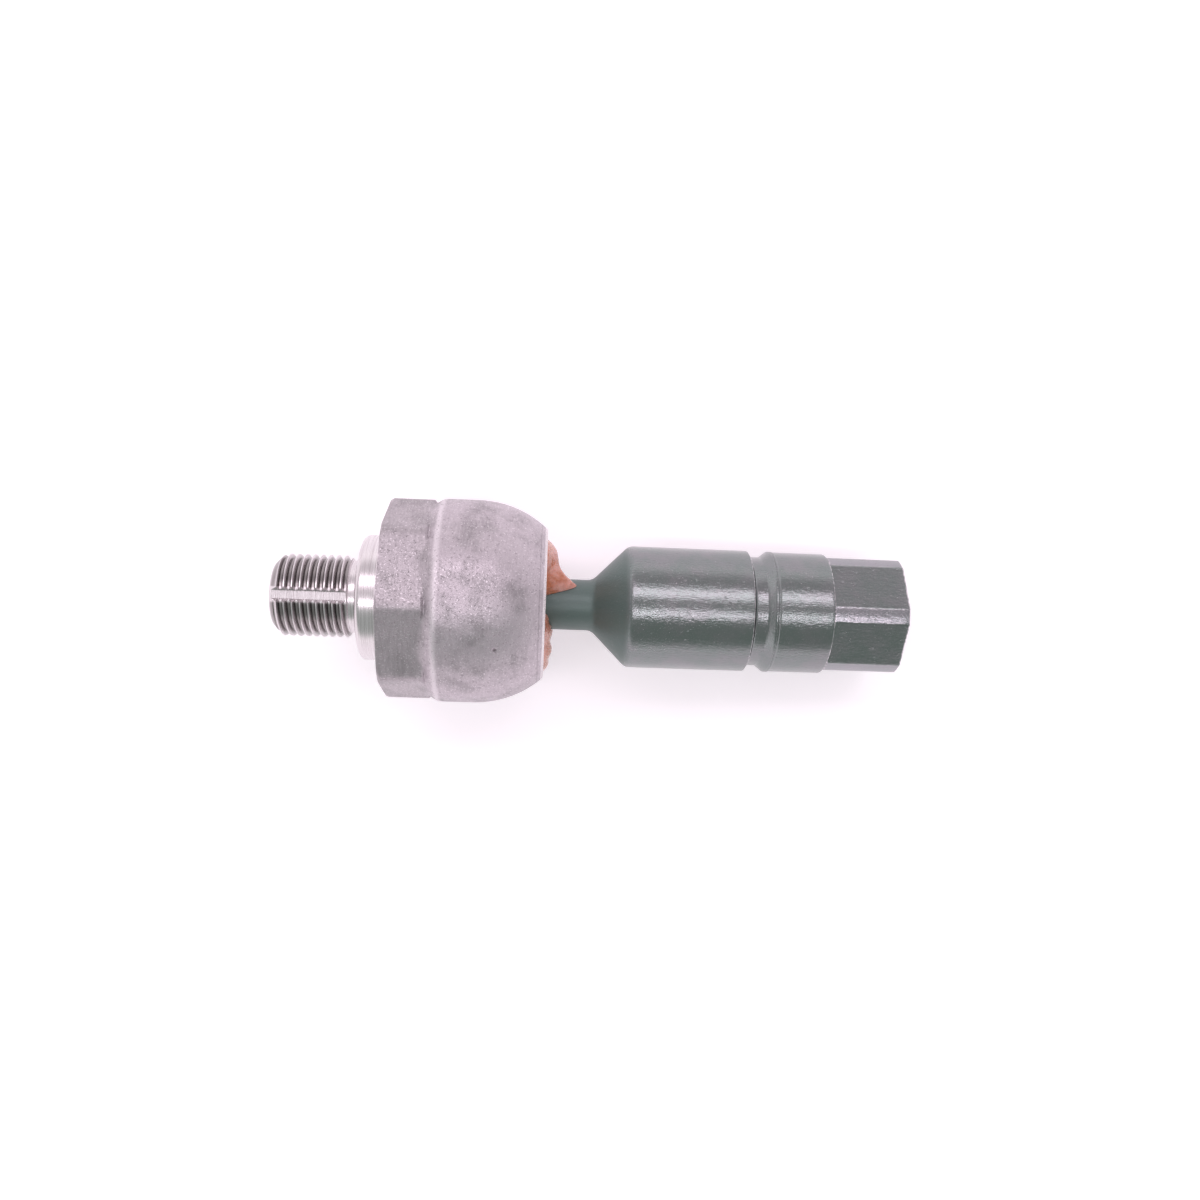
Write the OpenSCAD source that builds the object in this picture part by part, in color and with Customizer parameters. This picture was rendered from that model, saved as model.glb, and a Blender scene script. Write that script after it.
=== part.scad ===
// Axial tie rod joint: a cup housing that screws into a steering rack, and a ball-ended tie rod.
// The axis is X. X = 0 is the shoulder that seats on the rack, and +X runs out along the tie rod.

/* [Rack stud] */
// Nominal diameter of the stud thread
stud_d = 16; // [14:0.5:18]
// Length of the stud from its end to the shoulder
stud_len = 16.7; // [15:0.1:20]
// Length of the plain relief next to the shoulder
stud_relief = 2.3; // [1.6:0.1:3]
// Width of an air groove at the thread crests
air_slot_w = 3; // [2:0.1:4]
// Width of the flat bottom of an air groove
air_slot_floor = 1.5; // [1:0.1:1.8]
// Depth of an air groove below the thread crests
air_slot_depth = 1.4; // [1:0.1:1.8]

/* [Threads] */
// Pitch of both threads
pitch = 1.5; // [1.25:0.25:1.5]

/* [Housing] */
// Diameter of the turned spigot behind the collar
spigot_d = 24.4; // [22:0.1:26]
// Length of the spigot
spigot_len = 4.9; // [4:0.1:6]
// Radius of the spigot's rounded rim
spigot_round = 1.2; // [0.8:0.1:2]
// Width across the flats of the eight-sided collar
collar_af = 36.5; // [35:0.1:37.5]
// Length of the flats, from the collar's face to where they begin to rise
collar_len = 8.7; // [7:0.1:9.5]
// Turn of the collar about the axis, from a corner standing straight up
collar_turn = 4; // [0:0.5:22.5]
// Radius of the hollow that leads from the flats up to the shoulder
collar_hollow = 3; // [2.5:0.1:3.5]
// Diameter of the round body
body_d = 39.6; // [39:0.1:41]
// Distance of the body's round centre from the shoulder on the rack
body_x = 21.9; // [21.5:0.1:22.4]
// Distance of the crimped lip from the shoulder on the rack
lip_x = 35.1; // [34.8:0.1:35.4]
// Width of the lip's turned land
lip_land = 0.6; // [0.4:0.1:0.9]

/* [Ball joint] */
// Diameter of the ball
ball_d = 25; // [24.6:0.1:25.2]
// Distance of the ball's centre from the shoulder on the rack
ball_x = 22.5; // [22.4:0.1:22.7]
// Wall of the plastic seats
seat_wall = 1.9; // [1.7:0.1:2]
// Running clearance of the ball in its seats, and of the seats in the housing
running_gap = 0.05; // [0.03:0.01:0.08]
// Number of grease grooves inside the seats
grease_grooves = 6; // [4:1:8]
// Width of a grease groove
groove_w = 1.6; // [1:0.1:2]
// Depth of a grease groove
groove_depth = 0.6; // [0.4:0.1:0.8]
// Radius of the throat that the neck swings in
throat_r = 10.6; // [10.5:0.1:10.8]
// Radius of the opening at the lip
mouth_r = 13.7; // [13.4:0.1:13.8]

/* [Tie rod] */
// Diameter of the neck
neck_d = 10; // [9.6:0.1:10.2]
// Distance at which the neck begins to widen
neck_end_x = 43.6; // [43:0.1:44.5]
// Diameter of the barrel
barrel_d = 24; // [23:0.1:25]
// Distance at which the barrel has its full diameter
barrel_x = 51.4; // [51:0.1:52]
// Distance at which the groove for the boot's clip begins
clip_x = 74.7; // [73:0.1:76]
// Width of the clip groove
clip_w = 2.9; // [2.4:0.1:3.2]
// Depth of the clip groove
clip_depth = 1.2; // [0.8:0.1:1.5]
// Distance of the crest of the bead behind the clip groove
bead_x = 79; // [78.5:0.1:80]
// Diameter of the sleeve between the bead and the rod's end
sleeve_d = 23.8; // [23.4:0.1:24]
// Distance at which the hexagon begins
hex_x = 90; // [88:0.1:92]
// Width across the hexagon's flats
hex_af = 22; // [21.5:0.1:22.5]
// Distance of the rod's end from the shoulder on the rack
rod_end_x = 104.5; // [103:0.1:106]
// Nominal diameter of the thread inside the rod
rod_thread_d = 14; // [12:1:14]
// Length of the thread inside the rod
rod_thread_len = 36; // [30:1:38]

/* [Hidden] */

$fn = 96;
// How far a cutting solid runs past the face that it opens
eps = 0.01;
overlap = 2;
// An ISO thread is 0.6134 of its pitch deep outside, and 0.5413 inside
outer_depth = 0.6134 * pitch;
inner_depth = 0.5413 * pitch;
stud_r = stud_d / 2;
// The plain tip before the first thread ridge, and how far it tapers in
stud_tip = 0.8;
tip_taper = 0.8;
root_land = 0.05;
spigot_r = spigot_d / 2;
body_r = body_d / 2;
collar_flat_r = collar_af / 2;
collar_corner_r = body_r - 0.2;
collar_end_x = spigot_len + collar_len;
lip_r = mouth_r + lip_land;

ball_r = ball_d / 2;
seat_in_r = ball_r + running_gap;
seat_out_r = seat_in_r + seat_wall;
cup_r = seat_out_r + running_gap;
pole_flat = 0.6;
seat_split = 0.2;
seat_front_u = 8.1;
seat_hole_r = 5;

// The stack behind the ball: floor, disc spring, pressure disc, rear seat
floor_x = 7.25;
stack_r = 10.6;
spring_t = 0.6;
spring_h = 1.05;
disc_t = 1.05;
stack_gap = 0.05;
disc_x = floor_x + spring_h + stack_gap;
seat_back_x = disc_x + disc_t + stack_gap;
cup_wide_x = 15;
disc_hole_r = 3.5;

neck_r = neck_d / 2;
neck_fillet = 2.4;
barrel_r = barrel_d / 2;
sleeve_r = sleeve_d / 2;
hex_flat_r = hex_af / 2;
rod_thread_r = rod_thread_d / 2;
rod_bore_r = rod_thread_r - inner_depth;
// The drill is a little wider than the thread's crests
rod_drill_r = rod_bore_r + 0.2;
bore_extra = 6;
drill_half_angle = 59;
countersink = 1;
end_chamfer = 0.35;

steel = [0.72, 0.68, 0.71];
oxide = [0.36, 0.37, 0.38];
plastic = [0.92, 0.90, 0.84];
spring_steel = [0.45, 0.46, 0.50];
zinc = [0.75, 0.76, 0.78];
grease_colour = [0.80, 0.44, 0.30];

// Turns an outline of [radius, distance] points about the X axis
module lathe(outline) {
    rotate([0, 90, 0])
        rotate_extrude()
            polygon(outline);
}

// A straight round bar along X
module bar(from_x, to_x, r) {
    translate([from_x, 0, 0])
        rotate([0, 90, 0])
            cylinder(h = to_x - from_x, r = r);
}

// A prism of equal sides along X, given its distance from axis to flat
module prism(from_x, to_x, flat_r, sides) {
    translate([from_x, 0, 0])
        rotate([0, 90, 0])
            cylinder(h = to_x - from_x, r = flat_r / cos(180 / sides), $fn = sides);
}

// Points of an arc of radius r about [centre_r, centre_x]; 0 degrees points along X
function arc(centre_r, centre_x, r, from_a, to_a, steps) = [
    for (i = [0:steps])
        let (a = from_a + (to_a - from_a) * i / steps)
            [centre_r + r * sin(a), centre_x + r * cos(a)]
];

// One thread ridge after another: root, flank, crest flat, flank
function ridges(from_x, count, crest_r, root_r, crest_w, root_w) = [
    for (i = [0:count - 1])
        let (x = from_x + i * pitch, flank = (pitch - crest_w - root_w) / 2)
            for (p = [
                [root_r, x], [root_r, x + root_w],
                [crest_r, x + root_w + flank], [crest_r, x + root_w + flank + crest_w]
            ]) p
];

// The two grooves that let air past the stud
module air_slots() {
    half_w = air_slot_w / 2;
    half_floor = air_slot_floor / 2;
    floor_r = stud_r - air_slot_depth;
    for (turn = [0, 180])
        rotate([turn, 0, 0])
            translate([-stud_len - eps, 0, 0])
                rotate([90, 0, 90])
                    linear_extrude(stud_len - stud_relief + eps)
                        polygon([
                            [-half_floor, floor_r], [half_floor, floor_r],
                            [half_w, stud_r], [half_w, stud_r + 1],
                            [-half_w, stud_r + 1], [-half_w, stud_r]
                        ]);
}

module stud() {
    root_r = stud_r - outer_depth;
    crest_w = pitch / 8;
    root_w = pitch / 4;
    thread_end = -stud_relief;
    turns = floor((stud_len - stud_relief - stud_tip - root_land) / pitch);
    thread_x = thread_end - turns * pitch;
    difference() {
        lathe(concat(
            [[0, -stud_len], [root_r - tip_taper, -stud_len], [root_r, thread_x - root_land]],
            ridges(thread_x, turns, stud_r, root_r, crest_w, root_w),
            [[root_r, thread_end], [root_r, overlap], [0, overlap]]
        ));
        air_slots();
    }
}

// The solid of the eight-sided collar, with a chamfer on its rack side
module collar() {
    chamfer_r = collar_flat_r + 0.3;
    chamfer_len = 0.7;
    end_x = collar_end_x + overlap;
    intersection() {
        rotate([collar_turn, 0, 0])
            prism(spigot_len, end_x, collar_flat_r, 8);
        lathe([
            [0, spigot_len], [chamfer_r, spigot_len],
            [collar_corner_r, spigot_len + chamfer_len], [collar_corner_r, end_x + 1], [0, end_x + 1]
        ]);
    }
}

// The round body, from the hollow behind the flats to the crimped lip
module body_shell() {
    hollow_r = collar_flat_r + collar_hollow;
    hollow_angle = 58;
    shoulder_len = 0.9;
    shoulder_drop = 0.05;
    core_x = spigot_len + 0.5;
    inset = 0.4;
    shoulder_x = collar_end_x + collar_hollow * sin(hollow_angle) + shoulder_len;
    lip_angle = asin(lip_r / body_r);
    lathe(concat(
        [[0, core_x], [collar_flat_r - 2, core_x], [collar_flat_r - inset, collar_end_x - inset]],
        [for (i = [0:5])
            let (a = hollow_angle * i / 5)
                [hollow_r - collar_hollow * cos(a), collar_end_x + collar_hollow * sin(a)]],
        [[body_r - shoulder_drop, shoulder_x]],
        arc(0, body_x, body_r, 90, lip_angle + 1, 16),
        [[lip_r, lip_x], [0, lip_x]]
    ));
}

// The space inside the cup: stack pocket, straight wall, round front and flared mouth
module cup_space() {
    throat_angle = asin(throat_r / cup_r);
    lathe(concat(
        [[0, floor_x], [stack_r, floor_x], [stack_r, seat_back_x], [cup_r, cup_wide_x]],
        arc(0, ball_x, cup_r, 90, throat_angle, 24),
        [[mouth_r, lip_x], [mouth_r, lip_x + 1], [0, lip_x + 1]]
    ));
}

module housing() {
    color(steel)
        difference() {
            union() {
                stud();
                lathe(concat(
                    [[0, 0]],
                    arc(spigot_r - spigot_round, spigot_round, spigot_round, 180, 90, 6),
                    [[spigot_r, spigot_len + 0.5], [0, spigot_len + 0.5]]
                ));
                collar();
                body_shell();
            }
            cup_space();
        }
}

// A disc spring that stands on its outer rim and presses with its inner one
module preload_spring() {
    in_r = 5.4;
    out_r = stack_r - 0.2;
    rise = spring_h - spring_t;
    color(spring_steel)
        lathe([
            [out_r, floor_x + 0.02], [out_r, floor_x + 0.02 + spring_t],
            [in_r, floor_x + spring_t + rise], [in_r, floor_x + rise]
        ]);
}

module pressure_disc() {
    edge = 0.2;
    out_r = stack_r - 0.15;
    color(zinc)
        lathe([
            [disc_hole_r, disc_x], [out_r - edge, disc_x], [out_r, disc_x + edge],
            [out_r, disc_x + disc_t - edge], [out_r - edge, disc_x + disc_t],
            [disc_hole_r, disc_x + disc_t]
        ]);
}

// The grooves that carry grease over the ball, as solids to take away from a seat
module seat_grooves() {
    intersection() {
        translate([ball_x, 0, 0])
            sphere(r = seat_in_r + groove_depth);
        for (i = [0:grease_grooves - 1])
            rotate([360 * i / grease_grooves + 30, 0, 0])
                translate([ball_x - ball_d, -groove_w / 2, 0])
                    cube([2 * ball_d, groove_w, ball_d]);
    }
}

module rear_seat() {
    back_r = stack_r - running_gap;
    color(plastic)
        difference() {
            lathe([
                [0, seat_back_x + stack_gap], [back_r, seat_back_x + stack_gap],
                [seat_out_r, cup_wide_x + stack_gap], [seat_out_r, ball_x - seat_split], [0, ball_x - seat_split]
            ]);
            translate([ball_x, 0, 0])
                sphere(r = seat_in_r);
            bar(floor_x, ball_x, seat_hole_r);
            seat_grooves();
        }
}

module front_seat() {
    front_a = acos(seat_front_u / seat_out_r);
    split_a = acos(seat_split / seat_out_r);
    color(plastic)
        difference() {
            lathe(concat(
                arc(0, ball_x, seat_out_r, split_a, front_a, 16),
                [[0, ball_x + seat_front_u], [0, ball_x + seat_split]]
            ));
            translate([ball_x, 0, 0])
                sphere(r = seat_in_r);
            seat_grooves();
        }
}

// The grease packed behind the ball, through the pressure disc and the spring
module grease_charge() {
    r = disc_hole_r - 0.1;
    top_x = ball_x - seat_in_r - 0.1;
    color(grease_colour)
        lathe([
            [0, floor_x + 0.02], [r, floor_x + 0.02], [r, top_x], [0, top_x]
        ]);
}

// The grease pressed out round the neck, which stands a little proud of the lip
module mouth_grease() {
    gap = 0.15;
    back_x = ball_x + 11.6;
    front_x = lip_x + 1.7;
    color(grease_colour)
        lathe([
            [neck_r + gap, back_x], [throat_r - 0.3, back_x - 1],
            [throat_r - gap, ball_x + 10], [mouth_r - 0.5, lip_x - gap],
            [mouth_r - 1.2, lip_x + 0.9], [neck_r + 3.4, front_x],
            [neck_r + 1.6, front_x + 1], [neck_r + gap, front_x + 1]
        ]);
}

// The tapped hole that takes the outer joint: thread, plain drilling and drill point
module rod_bore() {
    crest_w = pitch / 4;
    root_w = pitch / 8;
    turns = floor(rod_thread_len / pitch);
    thread_x = rod_end_x - countersink - turns * pitch;
    drill_x = rod_end_x - rod_thread_len - bore_extra;
    point = rod_drill_r / tan(drill_half_angle);
    lathe(concat(
        [[0, drill_x - point], [rod_drill_r, drill_x], [rod_drill_r, thread_x - 0.3]],
        ridges(thread_x, turns, rod_thread_r, rod_bore_r, root_w, crest_w),
        [
            [rod_bore_r, rod_end_x - countersink],
            [rod_thread_r + 0.2, rod_end_x + eps], [0, rod_end_x + eps]
        ]
    ));
}

module rod_shank() {
    groove_r = barrel_r - clip_depth;
    clip_end = clip_x + clip_w;
    slope = 0.3;
    corner = 0.35;
    bead_step = 0.55;
    bead_land = 0.2;
    neck_start = ball_x + 8;
    lathe(concat(
        [[0, neck_start], [neck_r, neck_start], [neck_r, neck_end_x]],
        [for (a = [15, 30, 45]) [neck_r + neck_fillet * (1 - cos(a)), neck_end_x + neck_fillet * sin(a)]],
        [
            [barrel_r - corner, barrel_x - 0.5], [barrel_r - corner / 3, barrel_x - 0.15],
            [barrel_r, barrel_x + 0.3], [barrel_r, clip_x],
            [groove_r + slope, clip_x + slope], [groove_r, clip_x + 2 * slope],
            [groove_r, clip_end - slope], [groove_r + bead_step, clip_end],
            [barrel_r, bead_x], [barrel_r, bead_x + bead_land], [sleeve_r, bead_x + 3 * bead_land],
            [sleeve_r, rod_end_x - end_chamfer], [sleeve_r - end_chamfer, rod_end_x], [0, rod_end_x]
        ]
    ));
}

module tie_rod() {
    color(oxide)
        difference() {
            union() {
                intersection() {
                    translate([ball_x, 0, 0])
                        sphere(r = ball_r);
                    bar(ball_x - ball_r + pole_flat, ball_x + ball_r, ball_r + overlap);
                }
                rod_shank();
            }
            difference() {
                bar(hex_x, rod_end_x + 1, barrel_r + overlap);
                prism(hex_x - 1, rod_end_x + overlap, hex_flat_r, 6);
            }
            rod_bore();
        }
}

housing();
preload_spring();
pressure_disc();
rear_seat();
front_seat();
grease_charge();
mouth_grease();
tie_rod();
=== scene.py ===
"""Axial tie rod joint on a pale table: forged cup housing, oxide-black tie rod, and grease at the mouth.

Lengths are in millimetres and angles in degrees until a mesh or a light is made. The axis is X: the rack
stud points along -X, and the tie rod along +X. Angles about the axis start at +Z and grow towards +Y.
"""
import math

import bmesh
import bpy
from mathutils import Matrix, Vector


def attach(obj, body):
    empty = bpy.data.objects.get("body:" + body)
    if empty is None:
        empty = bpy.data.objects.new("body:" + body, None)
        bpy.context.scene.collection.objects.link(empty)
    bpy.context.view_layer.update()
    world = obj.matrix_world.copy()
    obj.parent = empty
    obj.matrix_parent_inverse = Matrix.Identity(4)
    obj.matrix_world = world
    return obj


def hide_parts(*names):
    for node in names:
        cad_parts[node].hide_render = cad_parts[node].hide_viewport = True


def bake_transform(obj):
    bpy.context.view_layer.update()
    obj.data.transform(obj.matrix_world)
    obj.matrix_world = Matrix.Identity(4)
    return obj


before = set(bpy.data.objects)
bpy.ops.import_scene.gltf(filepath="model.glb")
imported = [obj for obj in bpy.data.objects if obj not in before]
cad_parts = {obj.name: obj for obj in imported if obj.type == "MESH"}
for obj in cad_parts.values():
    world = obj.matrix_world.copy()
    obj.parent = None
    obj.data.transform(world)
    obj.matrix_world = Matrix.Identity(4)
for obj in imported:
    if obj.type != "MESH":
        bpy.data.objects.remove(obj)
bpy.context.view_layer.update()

MM = 0.001

# Driving sizes. They are the CAD's, except for the collar's far end and the hollow behind it.
STUD_R = 8.0
PITCH = 1.5
STUD_END = -16.7
STUD_RELIEF = 2.3
SLOT_TOP, SLOT_FLOOR, SLOT_DEPTH = 3.0, 1.5, 1.4
SPIGOT_R, SPIGOT_LEN, SPIGOT_ROUND = 12.2, 4.9, 1.2
COLLAR_FLAT, COLLAR_CORNER, COLLAR_TURN = 18.25, 19.5, -4.0
COLLAR_DROP = 13.1
HOLLOW_R, HOLLOW_X, HOLLOW_FLOOR, HOLLOW_END = 8.0, 10.0, 18.0, 15.6
BODY_R, BODY_X = 19.8, 21.9
LIP_X, LIP_R, MOUTH_R = 35.1, 14.3, 13.7
BALL_R, BALL_X = 12.5, 22.5
CUP_R, THROAT_R = 14.5, 10.6
FLOOR_X, STACK_R, STACK_X, CUP_WIDE_X = 7.25, 10.6, 9.45, 15.0
NECK_R, NECK_END = 5.0, 43.4
BARREL_R, BARREL_X = 12.0, 51.4
CLIP_X, CLIP_W, CLIP_DEPTH = 74.7, 2.9, 1.2
SLEEVE_R, BEAD_X = 11.9, 79.0
HEX_X, HEX_FLAT, ROD_END, END_ROUND = 90.0, 11.0, 104.5, 0.35
BORE_R, BORE_THREAD_R, BORE_DRILL_R = 6.19, 7.0, 6.39
BORE_THREAD_LEN, BORE_EXTRA = 36.0, 6.0


# ---------------------------------------------------------------- outlines and meshes

def line(x0, r0, x1, r1, step):
    """Points from (x0, r0) towards (x1, r1), without the last one."""
    count = max(1, round(math.hypot(x1 - x0, r1 - r0) / step))
    return [(x0 + (x1 - x0) * i / count, r0 + (r1 - r0) * i / count) for i in range(count)]


def arc(centre_x, centre_r, radius, start, end, count):
    """Points of an arc, both ends included. 0 degrees points along +X and 90 away from the axis."""
    points = []
    for i in range(count + 1):
        a = math.radians(start + (end - start) * i / count)
        points.append((centre_x + radius * math.cos(a), centre_r + radius * math.sin(a)))
    return points


def smooth_min(a, b, width):
    """The smaller of two values, with a rounded change-over."""
    h = max(width - abs(a - b), 0.0) / width
    return min(a, b) - h * h * width / 4


def smooth_step(low, high, value):
    t = min(max((value - low) / (high - low), 0.0), 1.0)
    return t * t * (3 - 2 * t)


def lathe(outline, segments, warp=None):
    """A bmesh turned about X from (x, r) points: an eighth is spun, then copied round.

    warp changes the angle of each segment's line.
    """
    bm = bmesh.new()
    verts = [bm.verts.new((x * MM, 0, r * MM)) for x, r in outline]
    edges = [bm.edges.new(pair) for pair in zip(verts, verts[1:])]
    bmesh.ops.spin(
        bm, geom=verts + edges, cent=(0, 0, 0), axis=(1, 0, 0), angle=math.tau / 8, steps=segments // 8
    )
    eighth = bm.verts[:] + bm.edges[:] + bm.faces[:]
    for turn in range(1, 8):
        copied = bmesh.ops.duplicate(bm, geom=eighth)["geom"]
        moved = [g for g in copied if isinstance(g, bmesh.types.BMVert)]
        bmesh.ops.rotate(bm, verts=moved, cent=(0, 0, 0), matrix=Matrix.Rotation(math.tau * turn / 8, 3, "X"))
    bmesh.ops.remove_doubles(bm, verts=bm.verts, dist=1e-7)
    bmesh.ops.recalc_face_normals(bm, faces=bm.faces)
    if warp:
        shape(bm, lambda x, r, a: (x, r, warp(a)))
    return bm


def shape(bm, rule):
    """Moves each vertex by a rule that takes and gives (x, distance from the axis, angle)."""
    for v in bm.verts:
        r = math.hypot(v.co.y, v.co.z) / MM
        a = math.degrees(math.atan2(v.co.y, v.co.z))
        x, r, a = rule(v.co.x / MM, r, a)
        a = math.radians(a)
        v.co = (x * MM, r * math.sin(a) * MM, r * math.cos(a) * MM)


def prism(outline, start, length):
    """A straight bar along X with an outline of (y, z) points."""
    bm = bmesh.new()
    face = bm.faces.new([bm.verts.new((start * MM, y * MM, z * MM)) for y, z in outline])
    made = bmesh.ops.extrude_face_region(bm, geom=[face])
    moved = [g for g in made["geom"] if isinstance(g, bmesh.types.BMVert)]
    bmesh.ops.translate(bm, verts=moved, vec=(length * MM, 0, 0))
    bmesh.ops.recalc_face_normals(bm, faces=bm.faces)
    return bm


def helix(start, turns, root, crest, root_w, crest_w, steps):
    """A solid screw thread: its ridge profile spun about X with a lead of one pitch a turn."""
    flank = (PITCH - root_w - crest_w) / 2
    ridge = [
        (0.0, root), (root_w / 2, root), (root_w, root), (root_w + flank / 2, (root + crest) / 2),
        (root_w + flank, crest), (root_w + flank + crest_w, crest), (PITCH - flank / 2, (root + crest) / 2),
    ]
    outline = [(start, 0.0)]
    for turn in range(turns):
        outline += [(start + turn * PITCH + x, r) for x, r in ridge]
    end = start + turns * PITCH
    outline += [(end, root), (end, 0.0)]
    bm = bmesh.new()
    verts = [bm.verts.new((x * MM, 0, r * MM)) for x, r in outline]
    edges = [bm.edges.new(pair) for pair in zip(verts, verts[1:])]
    bmesh.ops.spin(
        bm, geom=verts + edges, cent=(0, 0, 0), axis=(1, 0, 0), dvec=(PITCH * MM / steps, 0, 0),
        angle=math.tau, steps=steps, use_merge=False,
    )
    bmesh.ops.remove_doubles(bm, verts=bm.verts, dist=2e-6)
    bmesh.ops.holes_fill(bm, edges=bm.edges, sides=0)
    bmesh.ops.recalc_face_normals(bm, faces=bm.faces)
    return bm


def to_object(bm, name):
    mesh = bpy.data.meshes.new(name)
    bm.to_mesh(mesh)
    bm.free()
    piece = bpy.data.objects.new(name, mesh)
    bpy.context.collection.objects.link(piece)
    return piece


def cut(piece, tool_bm, operation):
    """Joins, cuts or crops a piece with another solid, and applies it."""
    tool = to_object(tool_bm, "tool")
    change = piece.modifiers.new("cut", "BOOLEAN")
    change.object = tool
    change.operation = operation
    change.solver = "EXACT"
    deps = bpy.context.evaluated_depsgraph_get()
    mesh = bpy.data.meshes.new_from_object(piece.evaluated_get(deps))
    piece.modifiers.clear()
    piece.data = mesh
    bpy.data.objects.remove(tool)


def smooth(piece, sharp_angle):
    """Smooth shading, but sharp across edges that turn more than this."""
    bm = bmesh.new()
    bm.from_mesh(piece.data)
    bmesh.ops.remove_doubles(bm, verts=bm.verts, dist=2e-7)
    bmesh.ops.holes_fill(bm, edges=[edge for edge in bm.edges if edge.is_boundary], sides=4)
    bmesh.ops.recalc_face_normals(bm, faces=bm.faces)
    limit = math.radians(sharp_angle)
    for edge in bm.edges:
        edge.smooth = len(edge.link_faces) == 2 and edge.calc_face_angle(0) < limit
    for face in bm.faces:
        face.smooth = True
    bm.to_mesh(piece.data)
    bm.free()


# ---------------------------------------------------------------- materials

class Wire:
    """A value in a material. Arithmetic on it adds Math nodes."""

    def __init__(self, finish, socket):
        self.finish, self.socket = finish, socket

    def _math(self, operation, *values):
        return self.finish.math(operation, *values)

    def __add__(self, other):
        return self._math("ADD", self, other)

    def __radd__(self, other):
        return self._math("ADD", other, self)

    def __sub__(self, other):
        return self._math("SUBTRACT", self, other)

    def __rsub__(self, other):
        return self._math("SUBTRACT", other, self)

    def __mul__(self, other):
        return self._math("MULTIPLY", self, other)

    def __rmul__(self, other):
        return self._math("MULTIPLY", other, self)

    def __truediv__(self, other):
        return self._math("DIVIDE", self, other)


class Finish:
    """One node material round a Principled shader."""

    def __init__(self, name, constants=None):
        self.material = bpy.data.materials.new(name)
        self.material.use_nodes = True
        self.tree = self.material.node_tree
        self.tree.nodes.clear()
        self.shader = self.node("ShaderNodeBsdfPrincipled")
        for socket, value in (constants or {}).items():
            self.shader.inputs[socket].default_value = value
        output = self.node("ShaderNodeOutputMaterial")
        self.tree.links.new(self.shader.outputs[0], output.inputs[0])
        coords = self.node("ShaderNodeTexCoord")
        to_mm = {0: coords.outputs["Object"], "Scale": 1 / MM}
        place = self.node("ShaderNodeVectorMath", {"operation": "SCALE"}, to_mm)
        self.place = place.outputs[0]
        split = self.node("ShaderNodeSeparateXYZ", {}, {0: self.place})
        self.x, self.y, self.z = (Wire(self, split.outputs[i]) for i in range(3))
        self.radius = self.math("SQRT", self.y * self.y + self.z * self.z)
        self.angle = self.math("ARCTAN2", self.y, self.z) * (180 / math.pi)

    def node(self, kind, settings=None, inputs=None):
        """Adds any node: settings first, then the values or links of its sockets."""
        made = self.tree.nodes.new(kind)
        for key, value in (settings or {}).items():
            setattr(made, key, value)
        for key, value in (inputs or {}).items():
            value = value.socket if isinstance(value, Wire) else value
            if isinstance(value, bpy.types.NodeSocket):
                self.tree.links.new(value, made.inputs[key])
            else:
                made.inputs[key].default_value = value
        return made

    def math(self, operation, *values):
        made = self.node("ShaderNodeMath", {"operation": operation}, dict(enumerate(values)))
        return Wire(self, made.outputs[0])

    def noise(self, vector, scale, detail=2.0, roughness=0.5):
        settings = {"Vector": vector, "Scale": scale, "Detail": detail, "Roughness": roughness}
        made = self.node("ShaderNodeTexNoise", {}, settings)
        return Wire(self, made.outputs["Fac"])

    def around(self, along, about):
        """Coordinates for a pattern that is `along` times as fine on X, and drawn out about the axis."""
        made = self.node("ShaderNodeCombineXYZ", {}, {
            0: self.x * along, 1: self.y / self.radius * about, 2: self.z / self.radius * about,
        })
        return made.outputs[0]

    def stretched(self, x, y, z):
        made = self.node(
            "ShaderNodeVectorMath", {"operation": "MULTIPLY"}, {0: self.place, 1: (x, y, z)}
        )
        return made.outputs[0]

    def step(self, value, low, high):
        """0 below low, 1 above high, smooth between."""
        made = self.node(
            "ShaderNodeMapRange", {"interpolation_type": "SMOOTHSTEP"},
            {"Value": value, "From Min": low, "From Max": high},
        )
        return Wire(self, made.outputs[0])

    def window(self, value, low, high, soft):
        """1 between low and high."""
        return self.step(value, low - soft, low + soft) * (1 - self.step(value, high - soft, high + soft))

    def mix(self, factor, a, b):
        """A colour between a and b."""
        made = self.node("ShaderNodeMix", {"data_type": "RGBA"}, {0: factor})
        for index, colour in ((6, a), (7, b)):
            if isinstance(colour, bpy.types.NodeSocket):
                self.tree.links.new(colour, made.inputs[index])
            else:
                made.inputs[index].default_value = (*colour, 1.0)
        return made.outputs[2]

    def bump(self, height, distance, strength=1.0, normal=None):
        """Height in millimetres of distance, as a Bump node."""
        inputs = {"Height": height, "Distance": distance * MM, "Strength": strength}
        if normal is not None:
            inputs["Normal"] = normal
        return self.node("ShaderNodeBump", {}, inputs).outputs[0]

    def link(self, **sockets):
        for socket, value in sockets.items():
            value = value.socket if isinstance(value, Wire) else value
            self.tree.links.new(value, self.shader.inputs[socket.replace("_", " ").title()])
        return self.material


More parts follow.
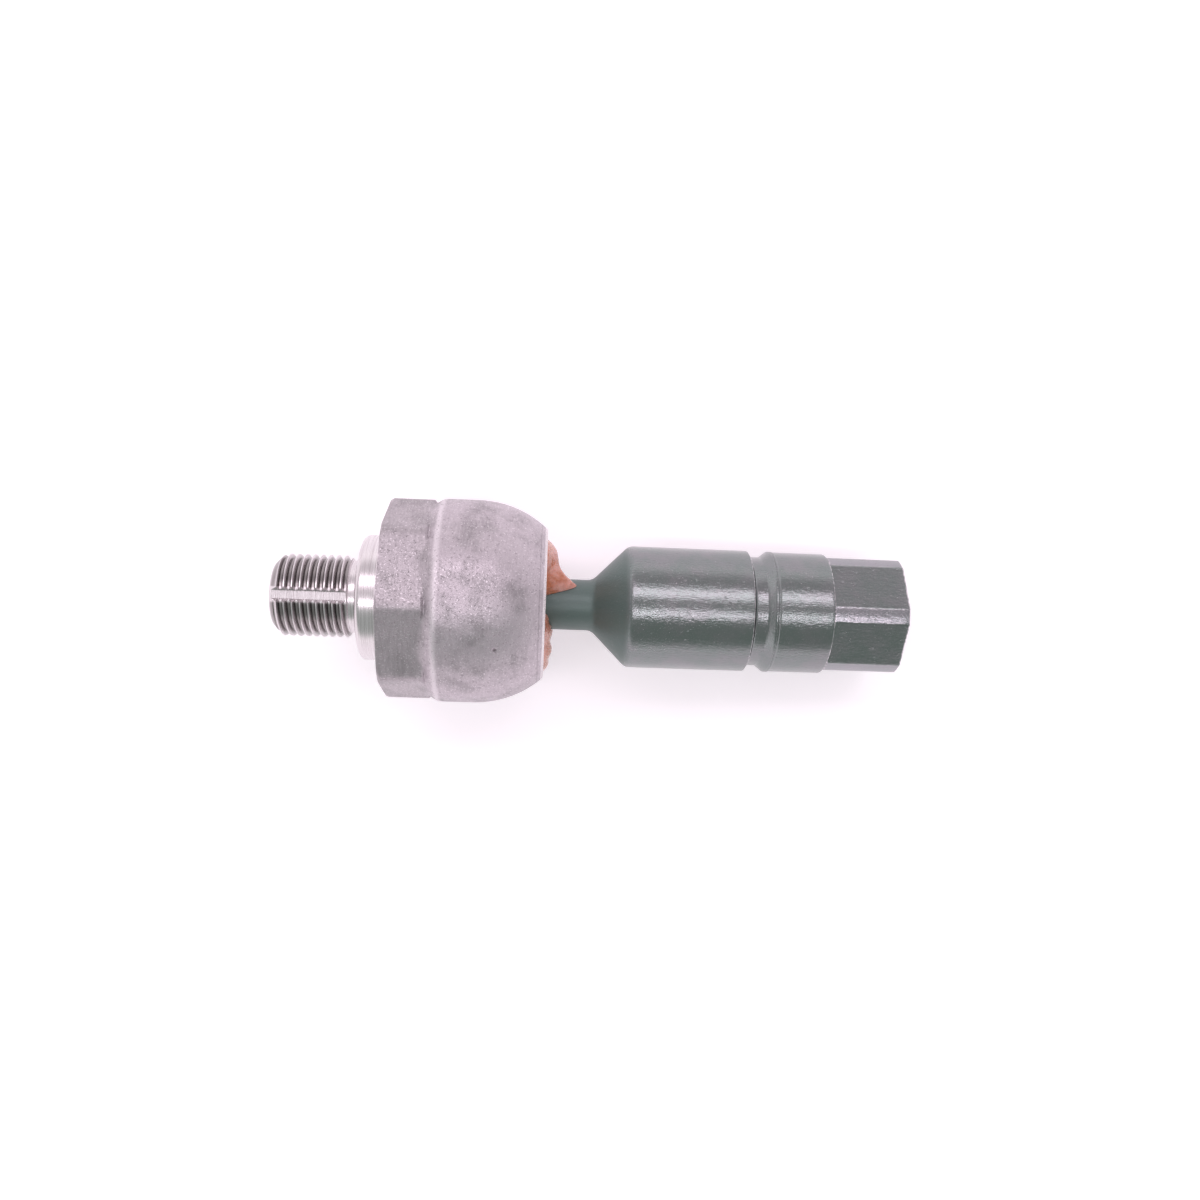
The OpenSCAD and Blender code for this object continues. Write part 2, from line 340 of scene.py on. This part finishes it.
def forged_steel():
    """Bright stud and spigot, blasted collar and body, and a turned land on the lip."""
    f = Finish("forged_steel", {"Metallic": 1.0})
    cast = f.step(f.x, 4.86, 5.05)
    lip = f.step(f.x, 34.75, 34.95)
    turned = (1 - cast) + lip - (1 - cast) * lip
    speckle = f.noise(f.place, 2.6, 3.0, 0.65)
    pits = f.step(speckle, 0.57, 0.68)
    glints = f.step(f.noise(f.place, 3.4, 2.0, 0.6), 0.58, 0.70)
    drawn = f.noise(f.around(2.4, 9.0), 1.0, 4.0, 0.6)
    scale = f.noise(f.place, 0.16, 4.0, 0.6)
    stains = f.step(scale, 0.42, 0.68)
    lines = f.noise(f.around(16.0, 1.2), 1.0, 3.0, 0.55)
    on_collar = 1 - f.step(f.x, 12.0, 14.8)
    dent = f.node("ShaderNodeVectorMath", {"operation": "DISTANCE"}, {0: f.place, 1: (26.4, -8.6, 17.3)})
    dent = 1 - f.step(Wire(f, dent.outputs["Value"]), 0.15, 0.6)
    crimp = f.window(f.x, 34.05, 34.2, 0.06)
    forged = f.mix(stains, (0.49, 0.442, 0.474), (0.33, 0.304, 0.32))
    forged = f.mix(on_collar * 0.5, forged, (0.30, 0.28, 0.288))
    # painted highlight: a lighter ring along the shoulder behind the hollow
    forged = f.mix(f.window(f.x, 14.8, 15.8, 0.4) * 0.6, forged, (0.80, 0.75, 0.78))
    forged = f.mix(glints * 0.6, forged, (0.84, 0.79, 0.82))
    forged = f.mix(pits * 0.6, forged, (0.18, 0.16, 0.17))
    forged = f.mix(f.step(drawn, 0.35, 0.75) * 0.30, forged, (0.64, 0.59, 0.62))
    forged = f.mix(f.math("MAXIMUM", dent * 0.8, crimp * 0.3), forged, (0.14, 0.12, 0.13))
    bright = f.mix(f.step(lines, 0.3, 0.7), (0.52, 0.48, 0.49), (0.80, 0.77, 0.78))
    in_slot = 1 - f.step(f.math("ABSOLUTE", f.y), 1.25, 1.7)
    # painted shade: the thread roots are darkened, except in the air slots
    painted_root_shade = (1 - f.step(f.radius, 7.2, 7.95)) * f.window(f.x, -16.4, -2.3, 0.3) * (1 - in_slot)
    bright = f.mix(painted_root_shade * 0.75, bright, (0.13, 0.115, 0.11))
    rough_forged = 0.36 + speckle * 0.20 - glints * 0.12
    rough_turned = 0.16 + lines * 0.20
    height = speckle * (0.055 * cast) + lines * (0.010 * turned)
    height = height - pits * (0.03 * cast) - dent * 0.15 - crimp * 0.02
    return f.link(
        base_color=f.mix(turned, forged, bright),
        roughness=rough_forged * (1 - turned) + rough_turned * turned,
        normal=f.bump(height, 1.0),
    )


def oxide_steel():
    """Semi-gloss black-green oxide over turning marks, rubbed brighter on its edges."""
    f = Finish("oxide_steel", {})
    lines = f.noise(f.around(9.0, 1.6), 1.0, 4.0, 0.6)
    fine = f.noise(f.around(26.0, 3.0), 1.0, 2.0, 0.5)
    patch = f.noise(f.place, 0.22, 4.0, 0.6)
    grain = f.noise(f.place, 3.0, 3.0, 0.65)
    sixth = f.math("PINGPONG", f.angle + 180, 30)
    on_hex = f.step(f.x, 89.85, 90.05) * f.step(f.radius, 11.1, 11.5)
    crest = (1 - f.step(sixth, 5.9, 6.7)) * on_hex
    rim = f.window(sixth, 6.1, 6.9, 0.3) * on_hex
    shoulder = f.window(f.x, 89.85, 90.12, 0.08) + f.step(f.x, 104.1, 104.25) * f.step(f.radius, 10.3, 10.7)
    groove_edge = f.window(f.x, 74.55, 74.8, 0.08)
    rubbed = f.step(f.noise(f.place, 1.3, 3.0, 0.6), 0.36, 0.60)
    worn = f.math("MINIMUM", (rim * 0.4 + shoulder + groove_edge) * rubbed, 1.0)
    scuffs = f.step(f.noise(f.around(1.8, 26.0), 1.0, 2.0, 0.7), 0.67, 0.74)
    ripple = f.noise(f.stretched(0.7, 2.0, 2.0), 1.0, 3.0, 0.65)
    dents = f.step(ripple, 0.66, 0.74)
    # the neck and cone get a painted dark reflection: a dark green colour stands in for the shaded mouth they
    # face, and they are also made rougher and less metallic
    dull_and_dark_reflection = f.window(f.x, 30, 51, 0.9)
    oxide = f.mix(f.step(patch, 0.35, 0.7), (0.205, 0.235, 0.226), (0.240, 0.247, 0.252))
    oxide = f.mix(f.step(grain, 0.45, 0.7) * 0.35, oxide, (0.30, 0.29, 0.30))
    oxide = f.mix(f.step(lines, 0.45, 0.8) * 0.30, oxide, (0.24, 0.235, 0.24))
    oxide = f.mix(dull_and_dark_reflection * 0.85, oxide, (0.084, 0.130, 0.116))
    oxide = f.mix(crest * 0.40, oxide, (0.42, 0.40, 0.44))
    oxide = f.mix(scuffs * 0.30, oxide, (0.52, 0.50, 0.52))
    colour = f.mix(worn * 0.7, oxide, (0.74, 0.70, 0.73))
    height = lines * 0.006 + fine * 0.002 + patch * 0.03 + grain * 0.022 + ripple * 0.045 - dents * 0.03
    return f.link(
        base_color=colour,
        metallic=1 - dull_and_dark_reflection * 0.7,
        roughness=0.10 + grain * 0.13 + patch * 0.04 + scuffs * 0.1 + dull_and_dark_reflection * 0.22,
        normal=f.bump(height, 1.0),
    )


def grease():
    """Wet orange grease, paler where it is thin, with painted shade on it down in the mouth."""
    f = Finish("grease", {
        "IOR": 1.47, "Subsurface Weight": 0.2, "Subsurface Scale": 0.001,
        "Subsurface Radius": (1.0, 0.35, 0.2), "Coat Weight": 0.6, "Coat Roughness": 0.08,
    })
    folds = f.noise(f.place, 0.9, 3.0, 0.6)
    cloud = f.noise(f.place, 0.35, 2.0, 0.5)
    colour = f.mix(f.step(cloud, 0.35, 0.65), (0.50, 0.165, 0.085), (0.66, 0.31, 0.25))
    colour = f.mix(f.step(folds, 0.60, 0.8) * 0.6, colour, (0.26, 0.10, 0.06))
    # painted shade: the grease below the lip, down in the mouth, is darkened
    colour = f.mix(f.step(f.x, LIP_X - 0.2, LIP_X - 0.9), colour, (0.045, 0.026, 0.02))
    return f.link(
        base_color=colour,
        roughness=0.16 + folds * 0.2,
        normal=f.bump(folds * 0.45, 1.0, 0.8),
    )


def seat_plastic():
    """Natural acetal, slightly mottled and greasy."""
    f = Finish("seat_plastic", {"IOR": 1.48})
    cloud = f.noise(f.place, 0.3, 3.0, 0.5)
    grain = f.noise(f.place, 6.0, 2.0, 0.5)
    smear = f.step(f.noise(f.place, 0.5, 3.0, 0.6), 0.5, 0.75)
    colour = f.mix(f.step(cloud, 0.3, 0.7), (0.80, 0.77, 0.68), (0.86, 0.84, 0.77))
    return f.link(
        base_color=f.mix(smear * 0.6, colour, (0.72, 0.36, 0.20)),
        roughness=0.42 - smear * 0.2 + grain * 0.06,
        normal=f.bump(grain * 0.01, 1.0),
    )


def plated_steel(name, light, dark, roughness):
    """Ground steel with fine lines about the axis and a film of grease."""
    f = Finish(name, {"Metallic": 1.0})
    lines = f.noise(f.around(2.0, 14.0), 1.0, 3.0, 0.6)
    cloud = f.noise(f.place, 0.4, 3.0, 0.6)
    colour = f.mix(f.step(cloud, 0.35, 0.7), light, dark)
    return f.link(
        base_color=f.mix(f.step(lines, 0.55, 0.75) * 0.4, colour, (0.8, 0.8, 0.8)),
        roughness=roughness + lines * 0.12,
        normal=f.bump(lines * 0.01, 1.0),
    )


# ---------------------------------------------------------------- housing

def smooth_max(a, b, width):
    return -smooth_min(-a, -b, width)


def collar(x, angle):
    """Distance from the axis to the eight-sided collar, which drops away at its far end."""
    round_r = COLLAR_CORNER - 0.35 * (1 - smooth_step(SPIGOT_LEN, SPIGOT_LEN + 0.5, x))
    from_flat = (angle - COLLAR_TURN) % 45 - 22.5
    reach = smooth_min(round_r, COLLAR_FLAT / math.cos(math.radians(from_flat)), 0.25)
    return reach - 2.0 * smooth_step(COLLAR_DROP, COLLAR_DROP + 1.4, x)


def hollow(x):
    """Distance from the axis to the round hollow behind the collar, and to the shoulder it climbs to."""
    past = min(max(x, HOLLOW_X), HOLLOW_END) - HOLLOW_X
    return smooth_min(HOLLOW_FLOOR + HOLLOW_R - math.sqrt(HOLLOW_R ** 2 - past ** 2), BODY_R, 0.5)


def shape_housing(x, r, angle):
    """Gives the collar its flats, and the forging the hollow behind them."""
    inside = r < 14.8 and x > 5.2
    if inside or x < SPIGOT_LEN - 0.05 or x > 20.5:
        return x, r, angle
    if x > SPIGOT_LEN + 0.02:
        return x, smooth_max(collar(x, angle), hollow(x), 0.3), angle
    start = SPIGOT_R + 0.5
    if r > start:
        r = start + (r - start) * (collar(x, angle) - start) / (COLLAR_CORNER - start)
    return x, r, angle


def housing_outline():
    points = line(0, 0, 0, SPIGOT_R - SPIGOT_ROUND - 0.1, 1.2)
    points += arc(SPIGOT_ROUND, SPIGOT_R - SPIGOT_ROUND, SPIGOT_ROUND, 180, 90, 10)
    points += line(SPIGOT_ROUND + 0.3, SPIGOT_R, SPIGOT_LEN - 0.3, SPIGOT_R, 0.4)
    points += arc(SPIGOT_LEN - 0.3, SPIGOT_R + 0.3, 0.3, 270, 360, 3)
    points += line(SPIGOT_LEN, SPIGOT_R + 0.5, SPIGOT_LEN, COLLAR_CORNER, 0.6)
    points += [(SPIGOT_LEN, COLLAR_CORNER)]
    points += [(SPIGOT_LEN + 0.06 + 0.22 * i, COLLAR_CORNER) for i in range(69)]
    points += line(20.2, BODY_R, BODY_X - 0.3, BODY_R, 0.5)
    lip_angle = math.degrees(math.asin(LIP_R / BODY_R))
    points += arc(BODY_X, 0, BODY_R, 90, lip_angle + 1.2, 34)
    points += [(LIP_X - 0.16, LIP_R + 0.12), (LIP_X - 0.05, LIP_R + 0.03), (LIP_X, LIP_R - 0.08)]
    points += [(LIP_X, MOUTH_R + 0.1), (LIP_X - 0.05, MOUTH_R)]
    throat = math.degrees(math.asin(THROAT_R / CUP_R))
    throat_x = BALL_X + CUP_R * math.cos(math.radians(throat))
    points += line(LIP_X - 0.3, MOUTH_R - 0.25, throat_x, THROAT_R, 0.5)
    points += arc(BALL_X, 0, CUP_R, throat, 90, 16)
    points += line(BALL_X - 0.8, CUP_R, CUP_WIDE_X, CUP_R, 0.9)
    points += line(CUP_WIDE_X, CUP_R, STACK_X, STACK_R, 0.9)
    points += line(STACK_X, STACK_R, FLOOR_X, STACK_R, 0.9)
    points += line(FLOOR_X, STACK_R, FLOOR_X, 0, 1.5)
    points += [(FLOOR_X, 0)]
    return points


def make_housing():
    root = STUD_R - 0.6134 * PITCH
    relief = root - 0.03
    forging = lathe(housing_outline(), 384)
    shape(forging, shape_housing)
    piece = to_object(forging, "cup_housing")

    blank = [(STUD_END, 0), (STUD_END, 6.2), (STUD_END + 0.15, 6.35)]
    blank += [(STUD_END + 1.75, 7.95), (STUD_END + 1.9, STUD_R)]
    blank += [(-STUD_RELIEF - 0.5, STUD_R), (-STUD_RELIEF + 0.4, relief), (0.6, relief), (0.6, 0)]
    stud = to_object(lathe(blank, 128), "stud")
    cut(stud, helix(STUD_END - 2.4, 14, root, STUD_R + 0.02, PITCH / 4, PITCH / 8, 128), "INTERSECT")
    floor_r = STUD_R - SLOT_DEPTH
    half_top, half_floor = SLOT_TOP / 2, SLOT_FLOOR / 2
    for side in (1, -1):
        outline = [
            (-half_floor, floor_r), (half_floor, floor_r), (half_top, STUD_R),
            (half_top + 0.4, STUD_R + 1), (-half_top - 0.4, STUD_R + 1), (-half_top, STUD_R),
        ]
        slot = prism([(y, z * side) for y, z in outline], STUD_END - 1, -STUD_END - STUD_RELIEF + 1)
        cut(stud, slot, "DIFFERENCE")
    bm = bmesh.new()
    bm.from_mesh(stud.data)
    bpy.data.objects.remove(stud)
    cut(piece, bm, "UNION")
    smooth(piece, 28)
    piece.data.materials.append(forged_steel())
    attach(piece, "housing")
    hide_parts("housing")


# ---------------------------------------------------------------- tie rod

HEX_EDGE = 30 - math.degrees(math.acos(HEX_FLAT / SLEEVE_R))


def align_to_hex(angle):
    """Moves the nearest mesh lines onto the edges between the hexagon's flats and its rounded corners."""
    sector = 60 * math.floor((angle + 30) / 60)
    a = angle - sector
    size, sign = abs(a), math.copysign(1, a)
    marks = ((0, 0), (5.0, HEX_EDGE - 0.45), (6.0, HEX_EDGE), (7.0, HEX_EDGE + 0.45), (10.0, 10.0), (30, 30))
    for (a0, b0), (a1, b1) in zip(marks, marks[1:]):
        if size <= a1:
            return sector + sign * (b0 + (size - a0) * (b1 - b0) / (a1 - a0))
    return angle


def shape_rod(x, r, angle):
    """Draws the end of the barrel in to six flats."""
    if x < HEX_X + 0.01 or r < 9.0:
        return x, r, angle
    from_flat = angle % 60 - 30
    flat = HEX_FLAT / math.cos(math.radians(from_flat))
    return x, r * smooth_min(SLEEVE_R, flat, 0.06) / SLEEVE_R, angle


def rod_outline():
    flat = math.degrees(math.acos(11.9 / BALL_R))
    neck = math.degrees(math.asin(NECK_R / BALL_R))
    clip_end = CLIP_X + CLIP_W
    groove = BARREL_R - CLIP_DEPTH
    points = line(BALL_X - 11.9, 0, BALL_X - 11.9, 3.6, 1.2)
    points += arc(BALL_X, 0, BALL_R, 180 - flat, neck, 44)
    points += line(BALL_X + BALL_R * math.cos(math.radians(neck)) + 0.4, NECK_R, NECK_END, NECK_R, 0.8)
    points += arc(NECK_END, NECK_R + 2.4, 2.4, 270, 315, 8)
    turn_x, turn_r = NECK_END + 2.4 * math.sin(math.pi / 4), NECK_R + 2.4 * (1 - math.cos(math.pi / 4))
    round_r = 2.0
    top_x = turn_x + (BARREL_R - round_r * (1 - math.cos(math.pi / 4)) - turn_r)
    top_r = BARREL_R - round_r * (1 - math.cos(math.pi / 4))
    points += line(turn_x + 0.4, turn_r + 0.4, top_x - 0.2, top_r - 0.2, 0.6)
    points += arc(top_x + round_r * math.sin(math.pi / 4), BARREL_R - round_r, round_r, 135, 90, 7)
    points += line(BARREL_X + 1.6, BARREL_R, CLIP_X - 0.2, BARREL_R, 0.8)
    points += arc(CLIP_X - 0.2, BARREL_R - 0.2, 0.2, 90, 20, 3)
    points += arc(CLIP_X + 0.75, groove + 0.6, 0.6, 190, 270, 5)
    points += arc(clip_end - 0.4, groove + 0.4, 0.4, 270, 306, 4)
    points += line(clip_end, groove + 0.16, BEAD_X - 0.18, BARREL_R - 0.06, 0.25)
    points += arc(BEAD_X, BARREL_R - 0.3, 0.3, 115, 40, 5)
    points += arc(BEAD_X + 0.75, SLEEVE_R + 0.4, 0.4, 225, 270, 4)
    points += line(BEAD_X + 1.2, SLEEVE_R, HEX_X - 0.12, SLEEVE_R, 0.7)
    points += [(HEX_X - 0.1, SLEEVE_R), (HEX_X - 0.03, SLEEVE_R - 0.02), (HEX_X, SLEEVE_R - 0.06)]
    points += [(HEX_X + 0.02, SLEEVE_R), (HEX_X + 0.12, SLEEVE_R)]
    points += line(HEX_X + 0.5, SLEEVE_R, ROD_END - END_ROUND - 0.1, SLEEVE_R, 0.9)
    points += arc(ROD_END - END_ROUND, SLEEVE_R - END_ROUND, END_ROUND, 90, 0, 5)
    points += line(ROD_END, SLEEVE_R - END_ROUND - 0.3, ROD_END, 0, 1.4)
    points += [(ROD_END, 0)]
    return points


def make_rod():
    bm = lathe(rod_outline(), 360, align_to_hex)
    shape(bm, shape_rod)
    piece = to_object(bm, "ball_rod")
    turns = int(BORE_THREAD_LEN / PITCH)
    thread_start = ROD_END - BORE_THREAD_LEN - PITCH
    thread = helix(thread_start, turns + 2, BORE_R, BORE_THREAD_R, PITCH / 4, PITCH / 8, 72)
    cut(piece, thread, "DIFFERENCE")
    drill = ROD_END - BORE_THREAD_LEN - BORE_EXTRA
    hole = [(drill - BORE_DRILL_R / math.tan(math.radians(59)), 0), (drill, BORE_DRILL_R)]
    hole += [(ROD_END - BORE_THREAD_LEN, BORE_DRILL_R), (ROD_END - BORE_THREAD_LEN + 0.2, BORE_R - 0.05)]
    hole += [(ROD_END - 1.05, BORE_R - 0.05), (ROD_END - 1.0, BORE_R), (ROD_END + 0.05, BORE_THREAD_R + 0.25)]
    hole += [(ROD_END + 0.05, 0)]
    cut(piece, lathe(hole, 96), "DIFFERENCE")
    smooth(piece, 26)
    piece.data.materials.append(oxide_steel())
    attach(piece, "tie_rod")
    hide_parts("tie_rod")


# ---------------------------------------------------------------- grease

def bell(angle, centre, half_width):
    """1 at the centre angle, 0 at half_width degrees from it and beyond."""
    off = abs((angle - centre + 180) % 360 - 180) / half_width
    return math.cos(off * math.pi / 2) ** 2 if off < 1 else 0.0


def grease_height(r, angle):
    """How far the grease stands out of the mouth, along X from the lip."""
    share = (r - NECK_R) / (MOUTH_R - NECK_R)
    near_neck = max(1 - share / 0.55, 0.0)
    upper = bell(angle, 74, 70)
    lower = bell(angle, -72, 84)
    peak = bell(angle, 40, 34) * near_neck ** 1.4 * 4.4
    ridge = bell(angle, 62, 34) * (1 - share) * 1.6
    mound = 3.9 * upper ** 0.6 * (1 - 0.35 * share ** 2) + 3.6 * lower ** 0.5 * (1 - 0.15 * share)
    ripple = 0.25 * math.sin(math.radians(angle * 5 + r * 40))
    ripple += 0.18 * math.sin(math.radians(angle * 11 - r * 65))
    edge = 1.6 * share ** 6
    return -1.9 + mound + peak + ridge + ripple * (upper + lower) - edge


def shape_grease(x, r, angle):
    """Raises the grease's free surface; the part inside the mouth keeps its shape."""
    if x < LIP_X - 0.4:
        return x, r, angle
    return LIP_X + grease_height(r, angle), r, angle


def make_grease():
    gap = 0.12
    inner, outer = NECK_R + gap, MOUTH_R - 0.25
    outline = [(LIP_X, inner + (outer - inner) * i / 22) for i in range(23)]
    outline += line(LIP_X - 2.2, outer - 2.3, LIP_X - 2.9, THROAT_R - 0.25, 0.6)
    outline += [(LIP_X - 3.2, THROAT_R - 0.6), (LIP_X - 2.4, NECK_R + 2.4), (LIP_X - 2.2, inner + 0.2)]
    outline += [outline[0]]
    bm = lathe(outline, 192)
    shape(bm, shape_grease)
    piece = to_object(bm, "mouth_grease_bead")
    smooth(piece, 80)
    piece.data.materials.append(grease())
    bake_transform(piece)
    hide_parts("mouth_grease")


# ---------------------------------------------------------------- table, light and camera

REST_SLOPE = math.atan2(BODY_R - BARREL_R, ROD_END - 1 - BODY_X)
TABLE_NORMAL = Vector((-math.sin(REST_SLOPE), 0, math.cos(REST_SLOPE)))
TABLE_ALONG = Vector((math.cos(REST_SLOPE), 0, math.sin(REST_SLOPE)))
SOFTBOX_LEN, SOFTBOX_HEIGHT = 1.1, 0.9


def make_table():
    """A pale table that touches the round body and the end of the rod, as gravity would have it."""
    bm = bmesh.new()
    bmesh.ops.create_grid(bm, x_segments=1, y_segments=1, size=3.0)
    turn = Matrix((TABLE_ALONG, (0, 1, 0), TABLE_NORMAL)).transposed().to_4x4()
    touch = Vector((BODY_X, 0, 0)) * MM - TABLE_NORMAL * (BODY_R + 0.05) * MM
    bmesh.ops.transform(bm, matrix=Matrix.Translation(touch) @ turn, verts=bm.verts)
    table = to_object(bm, "table")
    f = Finish("table_paint")
    cloud = f.noise(f.place, 0.01, 2.0, 0.5)
    f.shader.inputs["Emission Strength"].default_value = 0.31
    table.data.materials.append(f.link(
        base_color=f.mix(cloud, (0.93, 0.895, 0.925), (0.95, 0.92, 0.945)),
        roughness=0.65 + cloud * 0.1,
        emission_color=f.mix(cloud, (1.0, 0.94, 0.975), (1.0, 0.96, 0.985)),
    ))


def make_light(name, across, width, power):
    """A long softbox over the joint, turned about its axis by `across` degrees from straight overhead."""
    data = bpy.data.lights.new(name, "AREA")
    data.shape = "RECTANGLE"
    data.size, data.size_y = SOFTBOX_LEN, width
    data.energy = power
    data.color = (1.0, 0.89, 0.98)
    centre = Vector((0.045, 0, 0))
    reach = TABLE_NORMAL + Vector((0, 1, 0)) * math.tan(math.radians(across))
    light = bpy.data.objects.new(name, data)
    bpy.context.collection.objects.link(light)
    light.location = centre + reach.normalized() * SOFTBOX_HEIGHT
    out = (light.location - centre).normalized()
    right = (TABLE_ALONG - out * TABLE_ALONG.dot(out)).normalized()
    light.rotation_mode = "QUATERNION"
    light.rotation_quaternion = Matrix((right, out.cross(right), out)).transposed().to_quaternion()


def make_world():
    """A white room: brightest near the horizon, dimmer and greener where the person at the table stands."""
    world = bpy.data.worlds.new("room")
    bpy.context.scene.world = world
    world.use_nodes = True
    tree = world.node_tree
    tree.nodes.clear()
    coords = tree.nodes.new("ShaderNodeTexCoord")
    split = tree.nodes.new("ShaderNodeSeparateXYZ")
    tree.links.new(coords.outputs["Generated"], split.inputs[0])

    def ramp(value, low, high):
        made = tree.nodes.new("ShaderNodeMapRange")
        made.interpolation_type = "SMOOTHSTEP"
        made.inputs["From Min"].default_value = low
        made.inputs["From Max"].default_value = high
        tree.links.new(value, made.inputs["Value"])
        return made.outputs[0]

    def mix(factor, a, b):
        made = tree.nodes.new("ShaderNodeMix")
        made.data_type = "RGBA"
        tree.links.new(factor, made.inputs[0])
        for index, colour in ((6, a), (7, b)):
            if isinstance(colour, bpy.types.NodeSocket):
                tree.links.new(colour, made.inputs[index])
            else:
                made.inputs[index].default_value = (*colour, 1.0)
        return made.outputs[2]

    near_side = tree.nodes.new("ShaderNodeMath")
    near_side.operation = "MINIMUM"
    near_side.inputs[1].default_value = 0
    tree.links.new(split.outputs[1], near_side.inputs[0])
    height = tree.nodes.new("ShaderNodeMath")
    height.operation = "MULTIPLY_ADD"
    height.inputs[1].default_value = -0.12
    tree.links.new(near_side.outputs[0], height.inputs[0])
    tree.links.new(split.outputs[2], height.inputs[2])
    ceiling = mix(ramp(split.outputs[1], -0.30, 0.22), (0.42, 0.455, 0.44), (0.70, 0.645, 0.685))
    room = mix(ramp(height.outputs[0], 0.18, 0.52), (1.36, 1.26, 1.33), ceiling)
    background = tree.nodes.new("ShaderNodeBackground")
    tree.links.new(room, background.inputs["Color"])
    output = tree.nodes.new("ShaderNodeOutputWorld")
    tree.links.new(background.outputs[0], output.inputs[0])


def make_camera():
    """Above the table, with the joint's axis running slightly down and away to the right."""
    data = bpy.data.cameras.new("camera")
    data.sensor_width = 36.0
    data.lens = 30.0
    data.clip_start = 0.01
    camera = bpy.data.objects.new("camera", data)
    bpy.context.collection.objects.link(camera)
    slope, roll = math.radians(3.4), math.radians(2.1)
    back = Vector((-math.sin(slope), 0, math.cos(slope)))
    along = Vector((math.cos(slope), 0, math.sin(slope)))
    up = Vector((0, math.cos(roll), 0)) - along * math.sin(roll)
    right = up.cross(back)
    ball = Vector((BALL_X, 0, 0))
    camera.location = (ball + right * 23.55 + up * 0.25 + back * 196.6) * MM
    camera.rotation_mode = "QUATERNION"
    camera.rotation_quaternion = Matrix((right, up, back)).transposed().to_quaternion()
    bpy.context.scene.camera = camera


def finish_node(node, material):
    """Gives a CAD node that stays its own finish."""
    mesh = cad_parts[node].data
    mesh.materials.clear()
    mesh.materials.append(material)


make_camera()
make_world()
make_table()
make_light("broad_softbox", 29, 0.24, 2.35)
make_light("strip_softbox", -10, 0.09, 1.9)
make_housing()
make_rod()
make_grease()
plastic = seat_plastic()
finish_node("rear_seat", plastic)
finish_node("front_seat", plastic)
finish_node("pressure_disc", plated_steel("zinc_plate", (0.66, 0.68, 0.70), (0.55, 0.57, 0.60), 0.28))
finish_node("preload_spring", plated_steel("spring_steel", (0.30, 0.31, 0.34), (0.22, 0.23, 0.27), 0.30))
finish_node("grease_charge", grease())

bpy.context.scene.view_settings.view_transform = "Standard"
